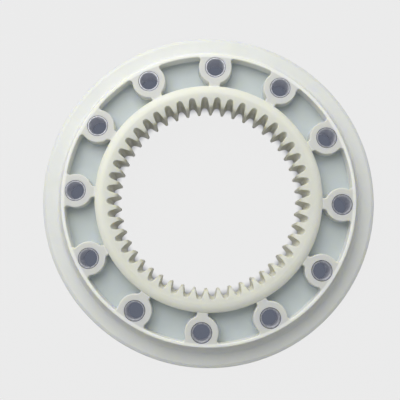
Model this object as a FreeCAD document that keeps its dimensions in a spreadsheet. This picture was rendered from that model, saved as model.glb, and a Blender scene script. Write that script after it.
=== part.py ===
import FreeCAD, Part
import math
import os
import Sketcher

# A nylon drive-coupling flange: internal toothing in a domed ring, a recessed web with twelve bosses,
# a low outer wall and a plain rim, with a steel sleeve in each boss.
#
# Frame: millimetres, +Z along the toothed bore towards the domed side, origin on the axis at the back
# face of the toothed ring, first boss on +X.

SIZES = {
    # radii about the main axis
    "rim_radius": 130.0,
    "rim_bevel_radius": 127.4,
    "wall_foot_radius": 117.6,
    "wall_outer_radius": 112.8,
    "wall_inner_radius": 110.2,
    "ring_outer_radius": 87.2,
    "ring_crest_radius": 80.5,
    "ring_back_radius": 86.4,
    "tip_nose_radius": 71.6,
    "tip_radius": 69.0,
    "bolt_circle_radius": 102.0,
    # levels above the toothed ring's back face
    "ring_back_level": 0.0,
    "rim_back_level": 4.0,
    "rim_bevel_level": 8.9,
    "rim_top_level": 10.0,
    "web_under_level": 9.0,
    "web_top_level": 14.0,
    "boss_top_level": 25.0,
    "crest_level": 28.0,
    "tip_nose_level": 26.59,
    "tip_level": 23.0,
    "lead_in_floor_level": 22.0,
    "lead_in_top_level": 30.0,
    # the domed top of the toothed ring
    "dome_outer_curve": 9.0,
    "dome_inner_curve": 28.8,
    "tip_nose_curve": 3.8,
    # bosses and the necks that join them to the toothed ring
    "boss_count": 12.0,
    "boss_radius": 12.9,
    "boss_chord": 111.0,
    "boss_chord_half": 9.186,
    "neck_start": 84.0,
    "neck_end": 89.803,
    "neck_half_width": 4.2,
    "neck_gap": 2.3,
    # a tooth space: reach is the distance from the main axis, half is half the space's width there; the
    # first space is turned this far past +X
    "tooth_count": 48.0,
    "first_space_degrees": -2.3,
    "mouth_reach": 66.0,
    "mouth_half": 4.15,
    "tip_round_reach": 68.9,
    "flank_start_reach": 70.0,
    "flank_start_half": 3.35,
    "flank_end_reach": 74.2,
    "flank_end_half": 1.9,
    "tip_round_curve": 1.1,
    "flank_curve": 20.0,
    "root_curve": 2.3,
    # the same space at the top of its lead-in flare
    "flare_flank_end_reach": 77.0,
    "flare_flank_end_half": 2.4,
    "flare_root_curve": 2.6,
    # roundings and chamfers
    "ring_shoulder_round": 2.0,
    "rim_edge_round": 0.8,
    "rim_back_round": 0.8,
    "wall_crest_round": 0.9,
    "wall_foot_round": 2.5,
    "web_round": 1.0,
    "ring_back_chamfer": 1.0,
    "corner_round": 2.2,
    "pocket_edge_round": 0.8,
    # steel sleeves
    "bush_bore_radius": 6.5,
    "bush_radius": 8.0,
    "bush_chamfer": 0.5,
}

COINCIDENCE = 1e-3        # how near a point must lie to the place that is asked for
ORIGIN_POINT = (-1, 1)    # how a sketch names its own origin
MIRRORED = "-"            # a size's name after this sign is the mirrored size


def make_sheet(doc):
    """Put every driving size in a sheet, one row each, with its name as the cell's alias."""
    sheet = doc.addObject("Spreadsheet::Sheet", "sizes")
    for row, (alias, value) in enumerate(SIZES.items(), start=1):
        sheet.set("A%d" % row, alias)
        sheet.set("B%d" % row, str(value))
        sheet.setAlias("B%d" % row, alias)
    doc.recompute()


def origin_feature(body, role):
    """Return the body's own origin plane or axis that has this role."""
    for feature in body.Origin.OriginFeatures:
        if feature.Role == role:
            return feature
    raise ValueError(role)


def add_sketch(body, name, role, level=None, turn=None):
    """Add a sketch on an origin plane, lifted to a level in the sheet and turned about the plane's normal."""
    sketch = body.newObject("Sketcher::SketchObject", name)
    sketch.AttachmentSupport = [(origin_feature(body, role), "")]
    sketch.MapMode = "FlatFace"
    if level:
        sketch.setExpression("AttachmentOffset.Base.z", "sizes." + level)
    if turn:
        sketch.setExpression("AttachmentOffset.Rotation.Angle", "sizes.%s * 1 deg" % turn)
    return sketch


def size_of(name):
    """Look up a size, which is negative when its name starts with the mirror sign."""
    if name is None:
        return 0.0
    if name.startswith(MIRRORED):
        return -SIZES[name[1:]]
    return SIZES[name]


def arc_edge(start, end, curve, bulge):
    """Return an arc of radius curve that bulges to the left (1) or right (-1) of its travel."""
    chord = end - start
    half = chord.Length / 2
    left = FreeCAD.Vector(-chord.y, chord.x, 0).normalize()
    sagitta = curve - math.sqrt(curve * curve - half * half)
    middle = (start + end) / 2 + left * (bulge * sagitta)
    return Part.Arc(start, middle, end)


def fix_coordinate(sketch, kind, geometry, point, name):
    """Tie one coordinate of a sketch point to a size in the sheet."""
    if name is None:
        across = {"DistanceX": -2, "DistanceY": -1}[kind]
        sketch.addConstraint(Sketcher.Constraint("PointOnObject", geometry, point, across))
        return
    size = name.lstrip(MIRRORED)
    ends = ORIGIN_POINT + (geometry, point)
    if name.startswith(MIRRORED):
        ends = (geometry, point) + ORIGIN_POINT
    index = sketch.addConstraint(Sketcher.Constraint(kind, *ends, SIZES[size]))
    label = "c%d_%s" % (index, size)
    sketch.renameConstraint(index, label)
    sketch.setExpression("Constraints." + label, "sizes." + size)


def draw_outline(sketch, corners):
    """Draw a closed outline through corners (x name, y name, curve name, bulge).

    The curve is the radius of the arc that leaves the corner, or None for a straight line.
    """
    points = [FreeCAD.Vector(size_of(corner[0]), size_of(corner[1]), 0) for corner in corners]
    count = len(corners)
    starts = []
    for index, corner in enumerate(corners):
        start = points[index]
        end = points[(index + 1) % count]
        if corner[2] is None:
            geometry = sketch.addGeometry(Part.LineSegment(start, end))
            starts.append((geometry, 1, 2))
            continue
        arc = arc_edge(start, end, SIZES[corner[2]], corner[3])
        geometry = sketch.addGeometry(arc)
        forward = sketch.getPoint(geometry, 1).distanceToPoint(start) < COINCIDENCE
        starts.append((geometry, 1, 2) if forward else (geometry, 2, 1))
        index = sketch.addConstraint(Sketcher.Constraint("Radius", geometry, SIZES[corner[2]]))
        label = "c%d_%s" % (index, corner[2])
        sketch.renameConstraint(index, label)
        sketch.setExpression("Constraints." + label, "sizes." + corner[2])
    for index, corner in enumerate(corners):
        geometry, first, _ = starts[index]
        before, _, last = starts[index - 1]
        sketch.addConstraint(Sketcher.Constraint("Coincident", before, last, geometry, first))
        fix_coordinate(sketch, "DistanceX", geometry, first, corner[0])
        fix_coordinate(sketch, "DistanceY", geometry, first, corner[1])


def revolve(body, name, sketch):
    """Turn a sketch on the XZ plane once round the body's Z axis."""
    feature = body.newObject("PartDesign::Revolution", name)
    feature.Profile = sketch
    feature.ReferenceAxis = (origin_feature(body, "Z_Axis"), [""])
    feature.Angle = 360
    body.Tip = feature
    body.Document.recompute()
    return feature


def polar_pattern(body, name, originals, count):
    """Repeat features evenly round the body's Z axis."""
    feature = body.newObject("PartDesign::PolarPattern", name)
    feature.Originals = originals
    feature.Axis = (origin_feature(body, "Z_Axis"), [""])
    feature.Angle = 360
    feature.setExpression("Occurrences", "sizes." + count)
    body.Tip = feature
    body.Document.recompute()
    return feature


def dress(body, kind, name, size, edges):
    """Round or chamfer edges of the body's tip by a size in the sheet."""
    base = body.Tip
    feature = body.newObject("PartDesign::" + kind, name)
    feature.Base = (base, edges)
    feature.setExpression("Radius" if kind == "Fillet" else "Size", "sizes." + size)
    body.Tip = feature
    body.Document.recompute()
    return feature


def edges_where(shape, wanted):
    """Name the edges of a shape that a test picks."""
    return ["Edge%d" % number for number, edge in enumerate(shape.Edges, start=1) if wanted(edge)]


def circle_edges(shape, places):
    """Name the edges that are circles about Z with these radii, at these levels."""
    def wanted(edge):
        if not isinstance(edge.Curve, Part.Circle):
            return False
        centre = edge.Curve.Center
        if math.hypot(centre.x, centre.y) > COINCIDENCE:
            return False
        return any(
            abs(edge.Curve.Radius - SIZES[radius]) < COINCIDENCE and abs(centre.z - SIZES[level]) < COINCIDENCE
            for radius, level in places
        )
    return edges_where(shape, wanted)


def middle_of(edge):
    """Return the point half-way along an edge."""
    return edge.valueAt((edge.FirstParameter + edge.LastParameter) / 2)


def is_upright(edge):
    """Say whether an edge is a straight line along Z."""
    if not isinstance(edge.Curve, Part.Line):
        return False
    rise = edge.Vertexes[-1].Point - edge.Vertexes[0].Point
    return math.hypot(rise.x, rise.y) < COINCIDENCE


def make_blank(body):
    """Turn the flange's section: toothed ring with its dome, web, outer wall and rim."""
    sketch = add_sketch(body, "section", "XZ_Plane")
    draw_outline(sketch, [
        ("tip_radius", None, None, 0),
        ("ring_back_radius", None, None, 0),
        ("ring_back_radius", "web_under_level", None, 0),
        ("wall_inner_radius", "web_under_level", None, 0),
        ("wall_inner_radius", "rim_back_level", None, 0),
        ("rim_radius", "rim_back_level", None, 0),
        ("rim_radius", "rim_bevel_level", None, 0),
        ("rim_bevel_radius", "rim_top_level", None, 0),
        ("wall_foot_radius", "rim_top_level", None, 0),
        ("wall_outer_radius", "boss_top_level", None, 0),
        ("wall_inner_radius", "boss_top_level", None, 0),
        ("wall_inner_radius", "web_top_level", None, 0),
        ("ring_outer_radius", "web_top_level", None, 0),
        ("ring_outer_radius", "boss_top_level", "dome_outer_curve", -1),
        ("ring_crest_radius", "crest_level", "dome_inner_curve", -1),
        ("tip_nose_radius", "tip_nose_level", "tip_nose_curve", -1),
        ("tip_radius", "tip_level", None, 0),
    ])
    revolve(body, "blank", sketch)
    rounds = [
        ("ring_shoulder_round", [("ring_outer_radius", "boss_top_level")]),
        ("rim_edge_round", [("rim_radius", "rim_bevel_level"), ("rim_bevel_radius", "rim_top_level")]),
        ("rim_back_round", [("rim_radius", "rim_back_level")]),
        ("wall_crest_round", [("wall_outer_radius", "boss_top_level")]),
        ("wall_foot_round", [("wall_foot_radius", "rim_top_level")]),
    ]
    for size, places in rounds:
        dress(body, "Fillet", size + "_cut", size, circle_edges(body.Tip.Shape, places))
    back_edges = circle_edges(body.Tip.Shape, [
        ("tip_radius", "ring_back_level"),
        ("ring_back_radius", "ring_back_level"),
    ])
    dress(body, "Chamfer", "ring_back_edges", "ring_back_chamfer", back_edges)


def add_bosses(body):
    """Raise the bosses, each with the short neck that joins it to the toothed ring."""
    sketch = add_sketch(body, "boss_outline", "XY_Plane", "rim_back_level")
    draw_outline(sketch, [
        ("neck_start", "-neck_half_width", None, 0),
        ("neck_end", "-neck_half_width", "boss_radius", -1),
        ("boss_chord", "-boss_chord_half", None, 0),
        ("boss_chord", "boss_chord_half", "boss_radius", -1),
        ("neck_end", "neck_half_width", None, 0),
        ("neck_start", "neck_half_width", None, 0),
    ])
    boss = body.newObject("PartDesign::Pad", "boss")
    boss.Profile = sketch
    boss.setExpression("Length", "sizes.boss_top_level - sizes.rim_back_level")
    body.Tip = boss
    body.Document.recompute()
    polar_pattern(body, "bosses", [boss], "boss_count")


def round_pockets(body):
    """Round the pockets' upright corners, then the edges of their floors, then their top edges."""
    dress(body, "Fillet", "pocket_corners", "corner_round", edges_where(body.Tip.Shape, is_pocket_corner))
    dress(body, "Fillet", "pocket_floors", "web_round", edges_where(body.Tip.Shape, is_pocket_floor))
    dress(body, "Fillet", "pocket_rims", "pocket_edge_round", edges_where(body.Tip.Shape, is_pocket_rim))


def is_level(edge, level):
    """Say whether the middle of an edge is at a level in the sheet."""
    return abs(middle_of(edge).z - SIZES[level]) < COINCIDENCE


def is_among_bosses(edge):
    """Say whether the middle of an edge lies between the toothed ring and the outer wall."""
    middle = middle_of(edge)
    radius = math.hypot(middle.x, middle.y)
    return SIZES["ring_outer_radius"] + 1.0 < radius < SIZES["wall_inner_radius"] + COINCIDENCE


def is_clear_of_neck(edge):
    """Say whether the middle of an edge lies outside the narrow gap beside the neck."""
    middle = middle_of(edge)
    return math.hypot(middle.x, middle.y) > SIZES["ring_outer_radius"] + SIZES["neck_gap"]


def is_pocket_corner(edge):
    """Pick the upright edges where a boss meets the outer wall or its neck."""
    middle = middle_of(edge)
    neck_radius = math.hypot(SIZES["neck_end"], SIZES["neck_half_width"])
    radii = (SIZES["wall_inner_radius"], neck_radius)
    radius = math.hypot(middle.x, middle.y)
    return is_upright(edge) and any(abs(radius - corner) < COINCIDENCE for corner in radii)


def is_pocket_rim(edge):
    """Pick the edges round the pockets at the level of the boss tops, but not the bosses' own holes."""
    is_hole = isinstance(edge.Curve, Part.Circle) and abs(edge.Curve.Radius - SIZES["bush_radius"]) < COINCIDENCE
    return is_level(edge, "boss_top_level") and is_among_bosses(edge) and not is_hole


def is_pocket_floor(edge):
    """Pick the edges of the pockets' floors along the bosses and the outer wall."""
    return is_level(edge, "web_top_level") and is_clear_of_neck(edge)


def cut_bush_holes(body):
    """Bore the bosses for their sleeves."""
    sketch = add_sketch(body, "bush_hole_circle", "XY_Plane", "crest_level")
    circle = Part.Circle(FreeCAD.Vector(SIZES["bolt_circle_radius"], 0, 0), FreeCAD.Vector(0, 0, 1),
                         SIZES["bush_radius"])
    geometry = sketch.addGeometry(circle)
    fix_coordinate(sketch, "DistanceX", geometry, 3, "bolt_circle_radius")
    fix_coordinate(sketch, "DistanceY", geometry, 3, None)
    index = sketch.addConstraint(Sketcher.Constraint("Radius", geometry, SIZES["bush_radius"]))
    sketch.renameConstraint(index, "bush_radius")
    sketch.setExpression("Constraints.bush_radius", "sizes.bush_radius")
    hole = body.newObject("PartDesign::Pocket", "bush_hole")
    hole.Profile = sketch
    hole.Type = "ThroughAll"
    body.Tip = hole
    body.Document.recompute()
    polar_pattern(body, "bush_holes", [hole], "boss_count")


def draw_space(sketch, end_reach, end_half, root_curve):
    """Draw a tooth space on the sketch's X axis: rounded tips, curved flanks and a round root."""
    draw_outline(sketch, [
        ("mouth_reach", "-mouth_half", None, 0),
        ("tip_round_reach", "-mouth_half", "tip_round_curve", 1),
        ("flank_start_reach", "-flank_start_half", "flank_curve", -1),
        (end_reach, "-" + end_half, root_curve, -1),
        (end_reach, end_half, "flank_curve", -1),
        ("flank_start_reach", "flank_start_half", "tip_round_curve", 1),
        ("tip_round_reach", "mouth_half", None, 0),
        ("mouth_reach", "mouth_half", None, 0),
    ])


def cut_teeth(body):
    """Cut the tooth spaces right through the ring, each flared where the hub enters."""
    straight = add_sketch(body, "space_outline", "XY_Plane", "lead_in_top_level", "first_space_degrees")
    draw_space(straight, "flank_end_reach", "flank_end_half", "root_curve")
    space = body.newObject("PartDesign::Pocket", "space")
    space.Profile = straight
    space.Type = "ThroughAll"
    body.Tip = space
    body.Document.recompute()
    low = add_sketch(body, "flare_low_outline", "XY_Plane", "lead_in_floor_level", "first_space_degrees")
    draw_space(low, "flank_end_reach", "flank_end_half", "root_curve")
    high = add_sketch(body, "flare_high_outline", "XY_Plane", "lead_in_top_level", "first_space_degrees")
    draw_space(high, "flare_flank_end_reach", "flare_flank_end_half", "flare_root_curve")
    flare = body.newObject("PartDesign::SubtractiveLoft", "space_flare")
    flare.Profile = low
    flare.Sections = [high]
    flare.Ruled = True
    body.Tip = flare
    body.Document.recompute()
    polar_pattern(body, "teeth", [space, flare], "tooth_count")


def make_flange(doc):
    """Build the one-piece nylon flange."""
    body = doc.addObject("PartDesign::Body", "coupling_flange")
    body.Label = "coupling_flange"
    make_blank(body)
    cut_teeth(body)
    add_bosses(body)
    cut_bush_holes(body)
    round_pockets(body)
    return body


def make_bush(doc, number):
    """Build one steel sleeve in its boss."""
    name = "bolt_bush_%02d" % number
    body = doc.addObject("PartDesign::Body", name)
    body.Label = name
    sketch = add_sketch(body, "section", "XZ_Plane")
    draw_outline(sketch, [
        ("bush_bore_radius", "rim_back_level", None, 0),
        ("bush_radius", "rim_back_level", None, 0),
        ("bush_radius", "boss_top_level", None, 0),
        ("bush_bore_radius", "boss_top_level", None, 0),
    ])
    revolve(body, "sleeve", sketch)
    edges = circle_edges(body.Tip.Shape, [
        (radius, level)
        for radius in ("bush_bore_radius", "bush_radius")
        for level in ("rim_back_level", "boss_top_level")
    ])
    dress(body, "Chamfer", "end_chamfers", "bush_chamfer", edges)
    turn = "(%d * 360 deg / sizes.boss_count)" % (number - 1)
    body.setExpression("Placement.Base.x", "sizes.bolt_circle_radius * cos%s" % turn)
    body.setExpression("Placement.Base.y", "sizes.bolt_circle_radius * sin%s" % turn)
    doc.recompute()
    return body


def check_document(doc, bodies):
    """Stop if an object failed to recompute or a body has no valid shape."""
    for obj in doc.Objects:
        if {"Invalid", "Error"} & set(obj.State):
            raise RuntimeError("%s: %s" % (obj.Name, obj.State))
    for body in bodies:
        if body.Shape.isNull() or not body.Shape.isValid() or len(body.Shape.Solids) != 1:
            raise RuntimeError("%s has no valid single solid" % body.Label)


def main():
    doc = FreeCAD.newDocument("coupling_flange")
    make_sheet(doc)
    bodies = [make_flange(doc)]
    bodies += [make_bush(doc, number) for number in range(1, int(SIZES["boss_count"]) + 1)]
    doc.recompute()
    check_document(doc, bodies)
    os.makedirs("parts", exist_ok=True)
    for body in bodies:
        body.Shape.exportStep("parts/%s.step" % body.Label)
        print(body.Label, round(body.Shape.Volume / 1000, 2), "cm3")


main()
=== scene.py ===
import math

import bpy
from mathutils import Euler, Matrix, Vector

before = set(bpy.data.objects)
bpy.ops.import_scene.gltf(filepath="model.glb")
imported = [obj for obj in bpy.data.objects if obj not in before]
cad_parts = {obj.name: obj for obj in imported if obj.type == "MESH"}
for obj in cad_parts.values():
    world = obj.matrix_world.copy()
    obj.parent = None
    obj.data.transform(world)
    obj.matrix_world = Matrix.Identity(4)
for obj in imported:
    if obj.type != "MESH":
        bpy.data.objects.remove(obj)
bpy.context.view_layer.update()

# A nylon drive-coupling flange with twelve steel sleeves, seen from just off its axis on a pale floor.
# Everything is in metres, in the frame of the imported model: +Z up the toothed bore, first boss on +X.
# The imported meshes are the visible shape, so this script gives them materials, light and a camera.

MM = 0.001
BOSS_COUNT = 12
FLANGE = "coupling_flange"
BUSHES = ["bolt_bush_%02d" % number for number in range(1, BOSS_COUNT + 1)]

# Distances from the main axis where the nylon's colour changes, each as (where it starts, where it is full);
# towards the bore and among the teeth the change is painted shade.
BORE_SHADE_SPAN = (83.5 * MM, 77.5 * MM)
TOOTH_SHADE_SPAN = (79.0 * MM, 76.5 * MM)
OUTSIDE_RING = (86.5 * MM, 88.5 * MM)
INSIDE_WALL = (110.8 * MM, 109.4 * MM)
ON_RIM = (116.0 * MM, 119.5 * MM)

# Heights above the floor, in the same form: where painted cool light showing through the thin web begins, and
# where painted shade down among the teeth begins.
WEB_SEE_THROUGH_HEIGHT = (16.5 * MM, 14.2 * MM)
TOOTH_SHADE_HEIGHT = (27.5 * MM, 25.0 * MM)

# Distances from each sleeve's own axis: the wall of its bore and its outer edge, which carries a painted dark
# shadow where the sleeve meets the nylon.
BOSS_CIRCLE = 102 * MM
SLEEVE_BORE = (6.65 * MM, 6.55 * MM)
SLEEVE_EDGE_SHADOW = (7.2 * MM, 7.8 * MM)

# The ring of floor under the flange, between the toothed bore and the rim, which gets a painted cool grey
# shade.
SHADE_UNDER_FLANGE_FROM = (70 * MM, 78 * MM)
SHADE_UNDER_FLANGE_TO = (126 * MM, 120 * MM)


# ---------------------------------------------------------------- shader helpers

class Shader:
    """A material's node tree with short calls for the nodes that this scene uses."""

    def __init__(self, name):
        self.material = bpy.data.materials.new(name)
        self.material.use_nodes = True
        self.tree = self.material.node_tree
        self.tree.nodes.clear()
        self.surface = self.tree.nodes.new("ShaderNodeBsdfPrincipled")
        output = self.tree.nodes.new("ShaderNodeOutputMaterial")
        self.tree.links.new(self.surface.outputs["BSDF"], output.inputs["Surface"])
        self.place = self.tree.nodes.new("ShaderNodeTexCoord").outputs["Object"]

    def feed(self, socket, value):
        """Set an input socket to a number or colour, or link it to another node's output."""
        if isinstance(value, bpy.types.NodeSocket):
            self.tree.links.new(value, socket)
        else:
            socket.default_value = value

    def math(self, operation, first, second=0.0):
        node = self.tree.nodes.new("ShaderNodeMath")
        node.operation = operation
        self.feed(node.inputs[0], first)
        self.feed(node.inputs[1], second)
        return node.outputs[0]

    def length(self, across, along):
        """Length of a flat vector from its two parts."""
        squares = self.math("ADD", self.math("MULTIPLY", across, across), self.math("MULTIPLY", along, along))
        return self.math("SQRT", squares)

    def noise(self, scale, detail=3.0, roughness=0.55, place=None):
        node = self.tree.nodes.new("ShaderNodeTexNoise")
        self.feed(node.inputs["Vector"], place or self.place)
        node.inputs["Scale"].default_value = scale
        node.inputs["Detail"].default_value = detail
        node.inputs["Roughness"].default_value = roughness
        return node.outputs["Fac"]

    def ramp(self, value, span, result=(0.0, 1.0)):
        """Map a span of values smoothly on to another."""
        node = self.tree.nodes.new("ShaderNodeMapRange")
        node.interpolation_type = "SMOOTHSTEP"
        node.inputs["From Min"].default_value = span[0]
        node.inputs["From Max"].default_value = span[1]
        node.inputs["To Min"].default_value = result[0]
        node.inputs["To Max"].default_value = result[1]
        self.feed(node.inputs["Value"], value)
        return node.outputs["Result"]

    def mix(self, amount, first, second, blend="MIX"):
        node = self.tree.nodes.new("ShaderNodeMix")
        node.data_type = "RGBA"
        node.blend_type = blend
        self.feed(node.inputs["Factor"], amount)
        colours = [socket for socket in node.inputs if socket.type == "RGBA"]
        self.feed(colours[0], first)
        self.feed(colours[1], second)
        return [socket for socket in node.outputs if socket.type == "RGBA"][0]

    def bump(self, height, distance, strength, normal=None):
        node = self.tree.nodes.new("ShaderNodeBump")
        node.inputs["Strength"].default_value = strength
        node.inputs["Distance"].default_value = distance
        self.feed(node.inputs["Height"], height)
        if normal:
            self.feed(node.inputs["Normal"], normal)
        return node.outputs["Normal"]

    def coordinates(self):
        """X, Y and Z of the shaded point."""
        node = self.tree.nodes.new("ShaderNodeSeparateXYZ")
        self.feed(node.inputs[0], self.place)
        return node.outputs

    def set(self, **sockets):
        """Feed the surface's sockets by name, with underscores for spaces."""
        for name, value in sockets.items():
            self.feed(self.surface.inputs[name.replace("_", " ")], value)


def rgb(red, green, blue):
    """Turn a colour in 0 to 255 display values into linear RGBA."""
    def linear(value):
        value = value / 255
        return value / 12.92 if value <= 0.04045 else ((value + 0.055) / 1.055) ** 2.4
    return (linear(red), linear(green), linear(blue), 1.0)


# ---------------------------------------------------------------- materials

NOISE_BODY = (0.3, 0.7)


def nylon_colour(shader):
    """Ivory on the ring with painted shade on its inner slope, painted olive shade down among the teeth,
    painted cool light showing through the thin web, greyer on the bosses and the rim.
    """
    x, y, height = shader.coordinates()
    radius = shader.length(x, y)
    outside_ring = shader.ramp(radius, OUTSIDE_RING)
    within_wall = shader.math("MULTIPLY", outside_ring, shader.ramp(radius, INSIDE_WALL))
    web_see_through_mask = shader.math("MULTIPLY", within_wall, shader.ramp(height, WEB_SEE_THROUGH_HEIGHT))
    tooth_shade_mask = shader.math("MULTIPLY", shader.ramp(radius, TOOTH_SHADE_SPAN), shader.ramp(height, TOOTH_SHADE_HEIGHT))
    ivory = rgb(235, 235, 225)
    # The shade colour is painted shade on the ring's inner slope, which faces away from the light.
    shade = rgb(226, 226, 217)
    # The olive colour is painted shade on the tooth flanks down in the bore.
    olive_tooth_shade = rgb(214, 212, 195)
    bone = rgb(241, 241, 236)
    boss = rgb(218, 218, 214)
    grey = rgb(229, 230, 227)
    # The cool colour is painted cool light showing through the thin web from below.
    cool = rgb(203, 210, 211)
    colour = shader.mix(shader.ramp(radius, BORE_SHADE_SPAN), ivory, shade)
    colour = shader.mix(tooth_shade_mask, colour, olive_tooth_shade)
    colour = shader.mix(outside_ring, colour, bone)
    colour = shader.mix(within_wall, colour, boss)
    colour = shader.mix(shader.ramp(radius, ON_RIM), colour, grey)
    colour = shader.mix(web_see_through_mask, colour, cool)
    clouds = shader.ramp(shader.noise(45.0, 4.0, 0.6), NOISE_BODY, (0.0, 0.10))
    return shader.mix(clouds, colour, rgb(222, 222, 212), "MULTIPLY")


def make_nylon():
    """Natural nylon, satin and translucent, with a fine grain and a slight swell."""
    shader = Shader("natural_nylon")
    grain = shader.bump(shader.noise(900.0, 2.0), 0.04 * MM, 0.5)
    swell = shader.bump(shader.noise(120.0, 2.0), 0.25 * MM, 0.35, grain)
    shader.set(
        Base_Color=nylon_colour(shader),
        Roughness=shader.ramp(shader.noise(60.0), NOISE_BODY, (0.42, 0.52)),
        Normal=swell,
        IOR=1.53,
        Specular_IOR_Level=0.4,
        Subsurface_Weight=1.0,
        Subsurface_Radius=(1.0, 0.95, 0.6),
        Subsurface_Scale=2 * MM,
    )
    return shader.material


def make_steel():
    """Turned steel with fine rings round each sleeve's own axis, a painted dark shadow at its outer edge
    where it meets the nylon, and a duller bore.
    """
    shader = Shader("turned_steel")
    x, y, height = shader.coordinates()
    radius = shader.length(x, y)
    # Folding the angle about the main axis brings every sleeve on to the first one.
    fold = shader.math("PINGPONG", shader.math("ARCTAN2", y, x), math.pi / BOSS_COUNT)
    along = shader.math("SUBTRACT", shader.math("MULTIPLY", radius, shader.math("COSINE", fold)), BOSS_CIRCLE)
    across = shader.math("MULTIPLY", radius, shader.math("SINE", fold))
    from_axis = shader.length(along, across)
    lay = shader.tree.nodes.new("ShaderNodeCombineXYZ")
    shader.feed(lay.inputs["X"], from_axis)
    shader.feed(lay.inputs["Z"], height)
    lines = shader.noise(2600.0, 3.0, 0.6, lay.outputs[0])
    bore = shader.ramp(from_axis, SLEEVE_BORE)
    speckle = shader.ramp(shader.noise(400.0), (0.35, 0.7))
    colour = shader.mix(speckle, rgb(206, 207, 212), rgb(168, 169, 176))
    # The dark outer ring is a painted shadow where the sleeve meets the nylon.
    colour = shader.mix(shader.ramp(from_axis, SLEEVE_EDGE_SHADOW), colour, rgb(104, 104, 112))
    colour = shader.mix(bore, colour, rgb(236, 236, 240))
    face_roughness = shader.ramp(lines, NOISE_BODY, (0.24, 0.42))
    bore_roughness = shader.ramp(lines, NOISE_BODY, (0.52, 0.62))
    extra = shader.math("MULTIPLY", bore, shader.math("SUBTRACT", bore_roughness, face_roughness))
    shader.set(
        Base_Color=colour,
        Metallic=0.8,
        Roughness=shader.math("ADD", face_roughness, extra),
        Normal=shader.bump(lines, 0.02 * MM, 0.3),
    )
    return shader.material


def make_floor_material():
    """Pale and lit from within like a light table, with a painted cool grey shade where the flange covers it.
    """
    shader = Shader("studio_floor")
    x, y, _ = shader.coordinates()
    radius = shader.length(x, y)
    # Under the flange the floor's glow gives way to a painted cool grey shade.
    shade_under_flange = shader.math("MULTIPLY", shader.ramp(radius, SHADE_UNDER_FLANGE_FROM), shader.ramp(radius, SHADE_UNDER_FLANGE_TO))
    shader.set(
        Base_Color=rgb(30, 30, 31),
        Roughness=0.9,
        Specular_IOR_Level=0.0,
        Emission_Color=shader.mix(shade_under_flange, rgb(235, 235, 235), rgb(98, 103, 116)),
        Emission_Strength=0.985,
    )
    return shader.material


def paint(piece, material):
    """Give every slot of a piece one material."""
    slots = piece.data.materials
    if len(slots) == 0:
        slots.append(material)
    for index in range(len(slots)):
        slots[index] = material


# ---------------------------------------------------------------- studio

def make_floor():
    """A wide floor that doesn't throw its own light up on to the part."""
    bpy.ops.mesh.primitive_plane_add(size=40.0, location=(0, 0, 0))
    floor = bpy.context.object
    floor.name = "studio_floor"
    floor.visible_diffuse = False
    paint(floor, make_floor_material())


def make_world():
    """Soft light from above; the world below the horizon is dark, like a room seen from a table."""
    world = bpy.data.worlds.new("studio_world")
    world.use_nodes = True
    bpy.context.scene.world = world
    nodes = world.node_tree.nodes
    links = world.node_tree.links
    nodes.clear()
    coordinate = nodes.new("ShaderNodeTexCoord")
    split = nodes.new("ShaderNodeSeparateXYZ")
    links.new(coordinate.outputs["Generated"], split.inputs[0])
    ramp = nodes.new("ShaderNodeMapRange")
    ramp.interpolation_type = "SMOOTHSTEP"
    ramp.inputs["From Min"].default_value = -0.05
    ramp.inputs["From Max"].default_value = 0.12
    ramp.inputs["To Min"].default_value = 0.05
    ramp.inputs["To Max"].default_value = 0.40
    links.new(split.outputs[2], ramp.inputs["Value"])
    background = nodes.new("ShaderNodeBackground")
    background.inputs["Color"].default_value = (0.95, 0.98, 1.0, 1.0)
    links.new(ramp.outputs[0], background.inputs["Strength"])
    output = nodes.new("ShaderNodeOutputWorld")
    links.new(background.outputs[0], output.inputs["Surface"])


def make_window():
    """One broad soft light that leans in from beyond the top of the picture."""
    azimuth = math.radians(120)
    elevation = math.radians(49)
    distance = 1.1
    place = distance * Vector((
        math.cos(elevation) * math.cos(azimuth),
        math.cos(elevation) * math.sin(azimuth),
        math.sin(elevation),
    ))
    data = bpy.data.lights.new("window", "AREA")
    data.shape = "RECTANGLE"
    data.size = 1.1
    data.size_y = 1.1
    data.energy = 10.8
    data.color = (1.0, 1.0, 0.985)
    light = bpy.data.objects.new("window", data)
    light.location = place
    light.rotation_euler = (-place).to_track_quat("-Z", "Y").to_euler()
    bpy.context.scene.collection.objects.link(light)


def make_camera():
    """Stand the camera nearly over the part, a little to the -Y side and tilted back up the bore."""
    about_axis = Matrix.Rotation(math.radians(3.04), 3, "Z")
    place = Vector((-5.47, -55.15, 549.9)) * MM
    tilt = Euler((0.1011, 0.0020, 0.0), "XYZ").to_matrix()
    data = bpy.data.cameras.new("camera")
    data.sensor_width = 36.0
    data.lens = 62.27
    data.clip_start = 0.01
    camera = bpy.data.objects.new("camera", data)
    camera.matrix_world = Matrix.Translation(about_axis @ place) @ (about_axis @ tilt).to_4x4()
    bpy.context.scene.collection.objects.link(camera)
    bpy.context.scene.camera = camera


# ---------------------------------------------------------------- scene

def main():
    bpy.context.scene.view_settings.view_transform = "Standard"
    make_world()
    make_floor()
    make_window()
    make_camera()
    nylon = make_nylon()
    steel = make_steel()
    paint(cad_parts[FLANGE], nylon)
    for name in BUSHES:
        paint(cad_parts[name], steel)


main()
